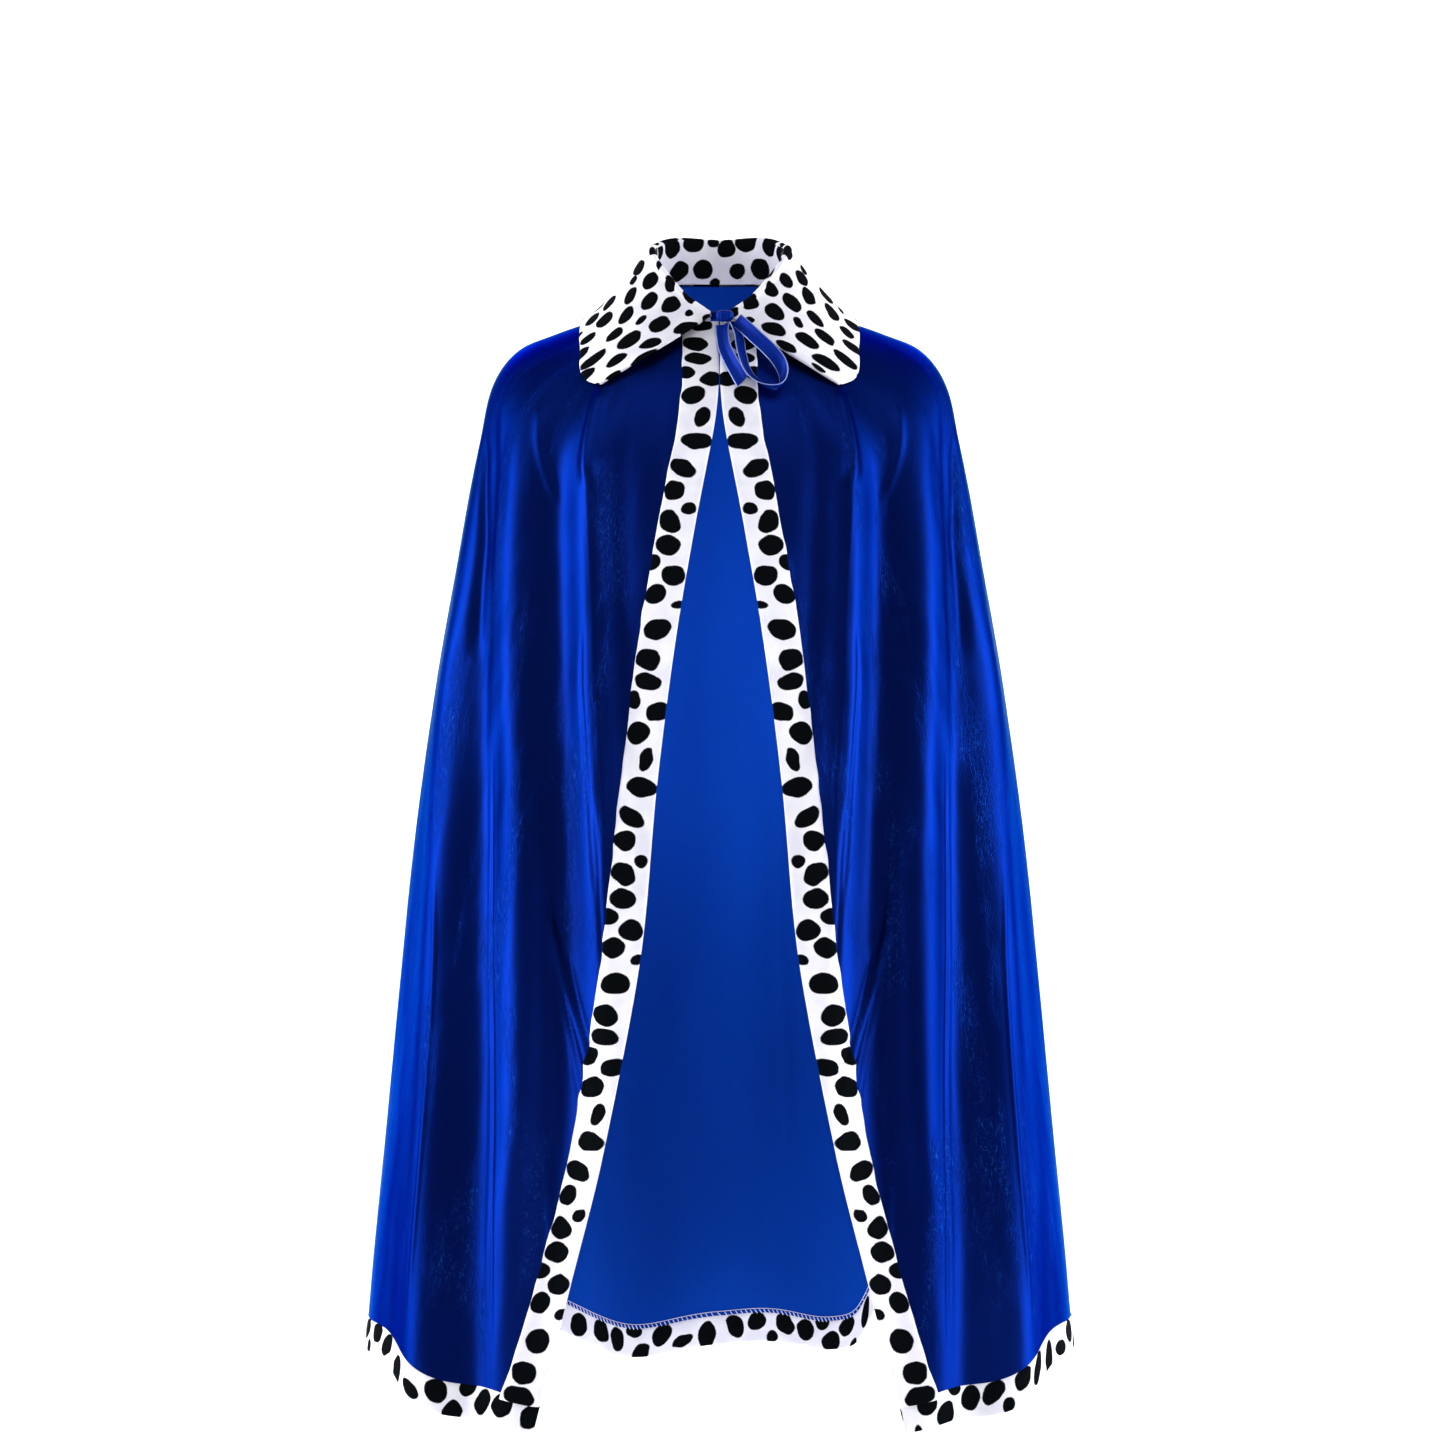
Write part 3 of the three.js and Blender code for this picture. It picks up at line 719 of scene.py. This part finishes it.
def collar_points(turns):
    def column(key):
        return curve(COLLAR[:, 0], COLLAR[:, COLLAR_COLUMNS.index(key)], np.abs(turns))[:, None]

    seam = cloth(turns, 0)
    out = facing(turns, np.zeros(len(turns)))
    level = unit(out * np.array([1, 1, 0]))
    up = np.array([0, 0, 1.0])
    rise, lean = column("rise"), column("lean")
    drop = np.minimum(ROLL_DROP, rise / 3)
    rows = []
    for share in np.linspace(0, 1, STAND_ROWS, endpoint=False):
        height = STAND_FOOT + (rise - drop - STAND_FOOT) * share
        straight = -STAND_INSET + (lean - ROLL_HALF_WIDTH + STAND_INSET) * share
        inset = straight - STAND_HOLLOW * np.sin(math.pi * share)
        rows.append(seam + level * inset + up * height)
    turning = np.linspace(0, math.pi, ROLL_ROWS, endpoint=False)
    for angle in np.insert(turning, ROLL_ON_STAND, turning[ROLL_ON_STAND - 1] + PRINT_STEP):
        over = level * (lean - ROLL_HALF_WIDTH * math.cos(angle))
        rows.append(seam + over + up * (rise - drop + drop * math.sin(angle)))
    at_start = level * (lean + ROLL_HALF_WIDTH) + up * (rise - drop) - out * COLLAR_LIFT
    side = np.sign(turns)
    for share in FALL_SHARES:
        under = side * (np.abs(turns) + (column("edge_turn")[:, 0] - np.abs(turns)) * share)
        path = (column("edge_path") * share)[:, 0]
        lift = COLLAR_LIFT + column("bulge") * math.sin(math.pi * share)
        rows.append(cloth(under, path) + facing(under, path) * lift + at_start * (1 - share) ** 2)
    return np.stack(rows)


def make_collar():
    end = COLLAR[-1, 0]
    turns = edged(-end, end, COLLAR_ACROSS, COLLAR_END_ROUNDING)
    # The middle keeps to one side, because a turn of 0 has no side.
    turns = np.where(np.abs(turns) < 1e-6, 1e-6, turns)
    points = collar_points(turns)
    normals = grid_normals(points)
    # The print lies straight on the stand, and fans out on the fall as on a collar cut in the round.
    last_of_stand = STAND_ROWS + ROLL_ON_STAND - 1
    around = lengths_along(points)
    middle = points.shape[1] // 2
    across = around[last_of_stand] - around[last_of_stand, middle]
    down = np.concatenate([[0], np.cumsum(np.linalg.norm(np.diff(points[:, middle], axis=0), axis=-1))])
    down = down - down[last_of_stand]
    inner, outer = around[last_of_stand, -1], around[-1, -1]
    radius = inner * down[-1] / (outer - inner)
    angle = (across / radius)[None, :]
    reach = (radius + down)[:, None]
    fanned = np.stack([reach * np.sin(angle), reach * np.cos(angle)], -1)
    straight = np.stack(np.broadcast_arrays(across[None, :], (radius + down)[:, None]), -1)
    on_stand = (np.arange(len(points)) <= last_of_stand)[:, None, None]
    uv = np.where(on_stand, straight, fanned)
    rows = np.concatenate([np.ones(len(points) - len(COLLAR_EDGE_ROUNDING)), COLLAR_EDGE_ROUNDING])
    columns = profile(turns, COLLAR_END_ROUNDING)
    half = np.minimum(rows[:, None], columns[None, :]) * PLUSH_WALL / 2
    return wall("collar_plush", points, normals, half, uv, (COLLAR_PLUSH, COLLAR_PLUSH))


# The ribbon. x is from the middle, path the way down the fronts under it, lift its height over
# them, and tilt turns its width up from lying flat to standing on edge.
RIBBON_COLUMNS = ("x", "path", "lift", "tilt")

LOOP = np.array([
    (10.6, 8.5, 10, 42),
    (20.5, 26, 13, 34),
    (30.5, 41, 13.5, 34),
    (37.8, 52, 12, 42),
    (41.2, 60, 9.5, 60),
    (41, 67, 7.6, 74),
    (37.6, 70.5, 7.2, 76),
    (31, 69, 6.8, 62),
    (25, 65, 6.6, 50),
    (20, 59, 6.6, 46),
    (16.4, 49, 6.6, 46),
    (14.2, 36, 6.8, 44),
    (12.6, 22, 7, 44),
    (9.2, 11, 8, 46),
])
FREE_END = np.array([
    (1.8, 9.6, 6.6, 20),
    (2, 20, 6.2, 34),
    (3.4, 33, 6.4, 38),
    (7.6, 47, 6.2, 34),
    (12, 58, 5.8, 24),
    (15, 65, 5.6, 16),
])


STEPS_A_STATION = 14
RIBBON_ACROSS = 13


def hanging_ribbon(name, table, slant=0.0, cup=0.0):
    """A run of ribbon over the fronts: slant is its cut end's, and cup is how far its middle stands up."""
    stations = np.arange(len(table))
    at = np.linspace(0, len(table) - 1, (len(table) - 1) * STEPS_A_STATION + 1)

    def column(key, where):
        return curve(stations, table[:, RIBBON_COLUMNS.index(key)], where)

    def place(where):
        x, path, lift = column("x", where), column("path", where), column("lift", where)
        turn = np.sign(x) * front_turn(x, path)
        out = facing(turn, path)
        return cloth(turn, path) + out * lift[:, None], out

    centre, out = place(at)
    down = unit(place(np.minimum(at + 0.1, at[-1]))[0] - place(np.maximum(at - 0.1, 0))[0])
    tilt = np.radians(column("tilt", at))[:, None]
    flat = unit(np.cross(out, down))
    across = flat * np.cos(tilt) + out * np.sin(tilt)
    normal = unit(np.cross(across, down))
    shares = np.linspace(-0.5, 0.5, RIBBON_ACROSS)
    length = np.concatenate([[0], np.cumsum(np.linalg.norm(np.diff(centre, axis=0), axis=-1))])
    near_end = smooth(at - (len(table) - 2))[:, None, None]
    points = (
        centre[:, None]
        + across[:, None] * (shares * RIBBON_WIDTH)[None, :, None]
        + normal[:, None] * (cup * (np.cos(shares * math.pi * 2) + 1) / 2)[None, :, None]
        + down[:, None] * (near_end * slant * shares[None, :, None] * RIBBON_WIDTH)
    )
    uv = np.stack(np.broadcast_arrays((shares * RIBBON_WIDTH)[None, :], length[:, None]), -1)
    half = np.full(points.shape[:2], RIBBON_WALL / 2)
    return wall(name, points, grid_normals(points), half, uv, (SATIN, SATIN))


# The stay's x from the middle and its y, from the neck seam to the knot.
STAY = np.array([(17, -37), (10.5, -39.2), (5.4, -41.6), (2.3, -46), (1.4, -53.7)])
STAY_Z = -15.3
STAY_HEIGHT = 5.6
STAY_ALONG = 37
STAY_ACROSS = 7


def make_stay(name, side):
    at = np.linspace(0, len(STAY) - 1, STAY_ALONG)
    x, y = (curve(np.arange(len(STAY)), STAY[:, i], at) for i in range(2))
    shares = np.linspace(0.5, -0.5, STAY_ACROSS)
    points = np.zeros((len(at), len(shares), 3))
    points[..., 0] = side * x[:, None]
    points[..., 1] = y[:, None]
    points[..., 2] = STAY_Z + side * shares * STAY_HEIGHT
    length = np.concatenate([[0], np.cumsum(np.hypot(np.diff(x), np.diff(y)))])
    uv = np.stack(np.broadcast_arrays((shares * STAY_HEIGHT)[None, :], length[:, None]), -1)
    half = np.full(points.shape[:2], RIBBON_WALL / 2)
    return wall(name, points, grid_normals(points), half, uv, (SATIN, SATIN))


KNOT = {"centre": (3.6, -58.2, -17.3), "size": (12, 8, 8)}
KNOT_RINGS = 40
KNOT_AROUND = 64
KNOT_SQUARENESS = 0.75
PLEAT_DEPTH = 0.35


def make_knot():
    """The knot: a ribbon wrapped round itself, with the wrap's edges and pleats as soft ridges."""
    v = np.linspace(0, math.pi, KNOT_RINGS)[:, None]
    u = np.linspace(0, 2 * math.pi, KNOT_AROUND, endpoint=False)[None, :]
    x, y, z = np.cos(v) + 0 * u, np.sin(v) * np.cos(u), np.sin(v) * np.sin(u)
    squared = [np.sign(c) * np.abs(c) ** KNOT_SQUARENESS for c in (x, y, z)]
    points = np.stack(squared, -1) * 0.5 * np.array(KNOT["size"])
    pleat = PLEAT_DEPTH * np.sin(5 * x * math.pi + 1.4 * np.sin(u)) * np.sin(v) ** 2
    points = points * (1 + pleat * 0.12)[..., None] + np.array(KNOT["centre"])
    verts = points.reshape(-1, 3) * MM
    index = np.arange(KNOT_RINGS * KNOT_AROUND).reshape(KNOT_RINGS, KNOT_AROUND)
    beside = np.roll(index, -1, axis=1)
    faces = np.stack([index[:-1], beside[:-1], beside[1:], index[1:]], -1).reshape(-1, 4)
    mesh = bpy.data.meshes.new("ribbon_knot_satin")
    mesh.from_pydata(verts.tolist(), [], faces.tolist())
    mesh.validate()
    layer = mesh.uv_layers.new(name="cloth")
    for loop in mesh.loops:
        co = mesh.vertices[loop.vertex_index].co
        layer.data[loop.index].uv = ((co.z - KNOT["centre"][2] * MM) * 0.5, co.x)
    mesh.materials.append(SATIN)
    mesh.polygons.foreach_set("use_smooth", np.ones(len(mesh.polygons), bool))
    return placed("ribbon_knot_satin", mesh)


# The seams' stitches, on the inside of the cloth

STITCH_STEP = 2.7
STITCH_SLANT = 1.5
STITCH_HALF_WIDTH = 1.5
THREAD_BESIDE = 1.9
# How far the stitches lie over on the velvet's side of the seam.
SEAM_SIDE = 0.9
BAND_STITCHES_FROM = 24
THREAD_RADIUS = 0.32
TUBE_SIDES = 5


def tubes(runs, radii):
    """Tubes along runs of points (run, point, axis): their verts and faces."""
    way = unit(np.gradient(runs, axis=1))
    side = unit(np.cross(way, np.array([0.31, 0.62, 0.72])))
    other = np.cross(way, side)
    angles = np.arange(TUBE_SIDES) * 2 * math.pi / TUBE_SIDES
    ring = side[..., None, :] * np.cos(angles)[:, None] + other[..., None, :] * np.sin(angles)[:, None]
    verts = runs[..., None, :] + ring * radii[:, None, None]
    index = np.arange(verts[..., 0].size).reshape(verts.shape[:-1])
    beside = np.roll(index, -1, axis=2)
    sides = np.stack([index[:, :-1], beside[:, :-1], beside[:, 1:], index[:, 1:]], -1)
    ends = index[:, 0, ::-1].tolist() + index[:, -1].tolist()
    return verts.reshape(-1, 3), sides.reshape(-1, 4).tolist() + ends


def make_stitches(name, place, count):
    """An overlocked seam: a slanted stitch over the seam at each step, and a thread beside it.

    place gives points on the inside, from the share along the seam, the way across it in
    millimetres, and the height over the cloth.
    """
    across = np.linspace(-1, 1, 5)[None, :] * np.ones((count, 1))
    share = (np.arange(count)[:, None] + 0.5 + STITCH_SLANT / STITCH_STEP * across / 2) / count
    over = place(share, across * STITCH_HALF_WIDTH - SEAM_SIDE, 0.3 + 0.3 * (1 - across**2))
    verts, faces = tubes(over, THREAD_RADIUS * np.array([0.6, 1.0, 1.1, 1.0, 0.6]))
    run = np.linspace(0.002, 0.998, count + 1)[None, :]
    beside = place(run, np.full(run.shape, -THREAD_BESIDE - SEAM_SIDE), np.full(run.shape, 0.2))
    more_verts, more_faces = tubes(beside, np.full(count + 1, THREAD_RADIUS * 0.8))
    faces = faces + [[i + len(verts) for i in face] for face in more_faces]
    mesh = bpy.data.meshes.new(name)
    mesh.from_pydata((np.concatenate([verts, more_verts]) * MM).tolist(), [], faces)
    mesh.materials.append(THREAD)
    mesh.polygons.foreach_set("use_smooth", np.ones(len(mesh.polygons), bool))
    mesh.update()
    return placed(name, mesh)


def inside_point(turn, path, height, over_plush):
    """A point at a height over the inside of the velvet, or of the thicker plush below the seam."""
    points, normals = cloth(turn, path), facing(turn, path)
    points = points + normals * fine_relief(turn, path)[..., None]
    depth = VELVET_WALL / 2 + (PLUSH_WALL - VELVET_WALL) / 2 * over_plush + height
    return points - normals * depth[..., None]


def hem_stitches(name, start, end):
    length = np.linalg.norm(np.diff(cloth(np.linspace(start, end, 200), HEM_PATH), axis=0), axis=-1).sum()

    def place(share, across, height):
        turn = start + (end - start) * share
        return inside_point(turn, HEM_PATH + across, height, smooth((across + 1) / 1.5))

    return make_stitches(name, place, int(length / STITCH_STEP))


def band_stitches(name, side):
    first, last = BAND_STITCHES_FROM, HEM_PATH - 3

    def place(share, across, height):
        path = first + (last - first) * share
        turn = side * front_turn(section("edge", path) + BAND_WIDTH - across, path)
        return inside_point(turn, path, height, smooth((across + 1) / 1.5))

    return make_stitches(name, place, int((last - first) / STITCH_STEP))


# Camera, floor and lights

CAMERA_AWAY = 2.3
CAMERA_HEIGHT = -0.29
FOCAL_PIXELS = 3318
IMAGE_PIXELS = 1439


def make_camera():
    data = bpy.data.cameras.new("camera")
    data.sensor_width = 36
    data.lens = data.sensor_width * FOCAL_PIXELS / IMAGE_PIXELS
    camera = bpy.data.objects.new("camera", data)
    camera.location = (0, -CAMERA_AWAY, CAMERA_HEIGHT)
    camera.rotation_euler = (math.radians(90), 0, 0)
    bpy.context.scene.collection.objects.link(camera)
    bpy.context.scene.camera = camera


def make_floor():
    """A pale floor below the hem that curves up into a backdrop."""
    low, near, far, high, bend, half_width = -1.15, -5.0, 3.2, 3.0, 1.2, 7.0
    section_yz = [(near, low), (far - bend, low)]
    bend_steps = 12
    for i in range(1, bend_steps + 1):
        angle = math.pi / 2 * i / bend_steps
        section_yz.append((far - bend + bend * math.sin(angle), low + bend - bend * math.cos(angle)))
    section_yz.append((far, high))
    verts = [(x, y, z) for y, z in section_yz for x in (-half_width, half_width)]
    faces = [(2 * i, 2 * i + 1, 2 * i + 3, 2 * i + 2) for i in range(len(section_yz) - 1)]
    mesh = bpy.data.meshes.new("floor")
    mesh.from_pydata(verts, [], faces)
    mesh.polygons.foreach_set("use_smooth", [True] * len(faces))
    n = Nodes("floor")
    mesh.materials.append(n.shade(Base_Color=(0.93, 0.93, 0.93, 1), Roughness=0.9))
    floor = bpy.data.objects.new("floor", mesh)
    bpy.context.scene.collection.objects.link(floor)


def make_light(name, place, target, size, power):
    """A soft white light: its size in metres, its power in watts."""
    data = bpy.data.lights.new(name, "AREA")
    data.shape = "RECTANGLE"
    data.size, data.size_y = size
    data.energy = power
    light = bpy.data.objects.new(name, data)
    light.location = place
    way = [b - a for a, b in zip(place, target)]
    light.rotation_euler = Vector(way).to_track_quat("-Z", "Y").to_euler()
    light.visible_camera = False
    bpy.context.scene.collection.objects.link(light)


# Lights in pairs, as on the wearer's left: the place, the target, the size and the power.
PAIRED_LIGHTS = {
    "side": ((2.0, -0.32, -0.2), (0, -0.2, -0.4), (1.3, 2.2), 76),
    "behind": ((1.6, 1.9, -0.7), (0, 0, -0.6), (0.6, 1.0), 10),
    "shoulder": ((0.9, 1.4, 1.2), (0.15, 0, -0.05), (0.8, 0.8), 15),
    "wall": ((1.9, 1.0, 0.4), (1.9, 3.0, 0.0), (1.2, 1.6), 60),
    "inside": ((0.1, -0.025, -0.25), (0.03, 0.12, -0.25), (0.04, 0.3), 0.3),
}


def make_lights():
    for side, word in ((1, "right"), (-1, "left")):
        for kind, (place, target, size, power) in PAIRED_LIGHTS.items():
            ends = [(side * x, y, z) for x, y, z in (place, target)]
            make_light(f"{kind}_{word}", *ends, size, power)
    make_light("fill_high", (0, -1.5, 1.8), (0, 0, -0.35), (2.2, 1.0), 14)
    world = bpy.data.worlds.new("studio")
    world.use_nodes = True
    world.node_tree.nodes["Background"].inputs["Color"].default_value = (1, 1, 1, 1)
    world.node_tree.nodes["Background"].inputs["Strength"].default_value = 0.33
    bpy.context.scene.world = world


make_camera()

back = make_back()
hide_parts("back")
for side, word in ((1, "left"), (-1, "right")):
    front = make_front(side, f"front_{word}_velvet")
    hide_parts(f"front_{word}")
    band = make_front_band(side, f"front_band_{word}_plush")
    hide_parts(f"front_band_{word}")
hem_back = make_hem_band("hem_band_back_plush", -90, 90, count=260, offset=0)
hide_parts("hem_band_back")
hem_left = make_hem_band("hem_band_left_plush", 90, None, count=110, offset=40)
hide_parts("hem_band_left")
hem_right = make_hem_band("hem_band_right_plush", None, -90, count=110, offset=0)
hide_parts("hem_band_right")
collar = make_collar()
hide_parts("collar")
loop = hanging_ribbon("ribbon_loop_satin", LOOP, cup=0.6)
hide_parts("ribbon_loop")
free_end = hanging_ribbon("ribbon_end_satin", FREE_END, slant=-0.35, cup=1.1)
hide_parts("ribbon_end")
for side, word in ((1, "left"), (-1, "right")):
    stay = make_stay(f"ribbon_stay_{word}_satin", side)
    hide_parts(f"ribbon_stay_{word}")
knot = make_knot()
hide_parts("ribbon_knot")

end_turn = float(front_turn(section("edge", HEM_PATH), HEM_PATH)) - 1
hem_stitches("stitches_hem_back", -89, 89)
hem_stitches("stitches_hem_left", 91, end_turn)
hem_stitches("stitches_hem_right", -end_turn, -91)
band_stitches("stitches_band_left", 1)
band_stitches("stitches_band_right", -1)

make_floor()
make_lights()
bpy.context.scene.view_settings.view_transform = "Standard"
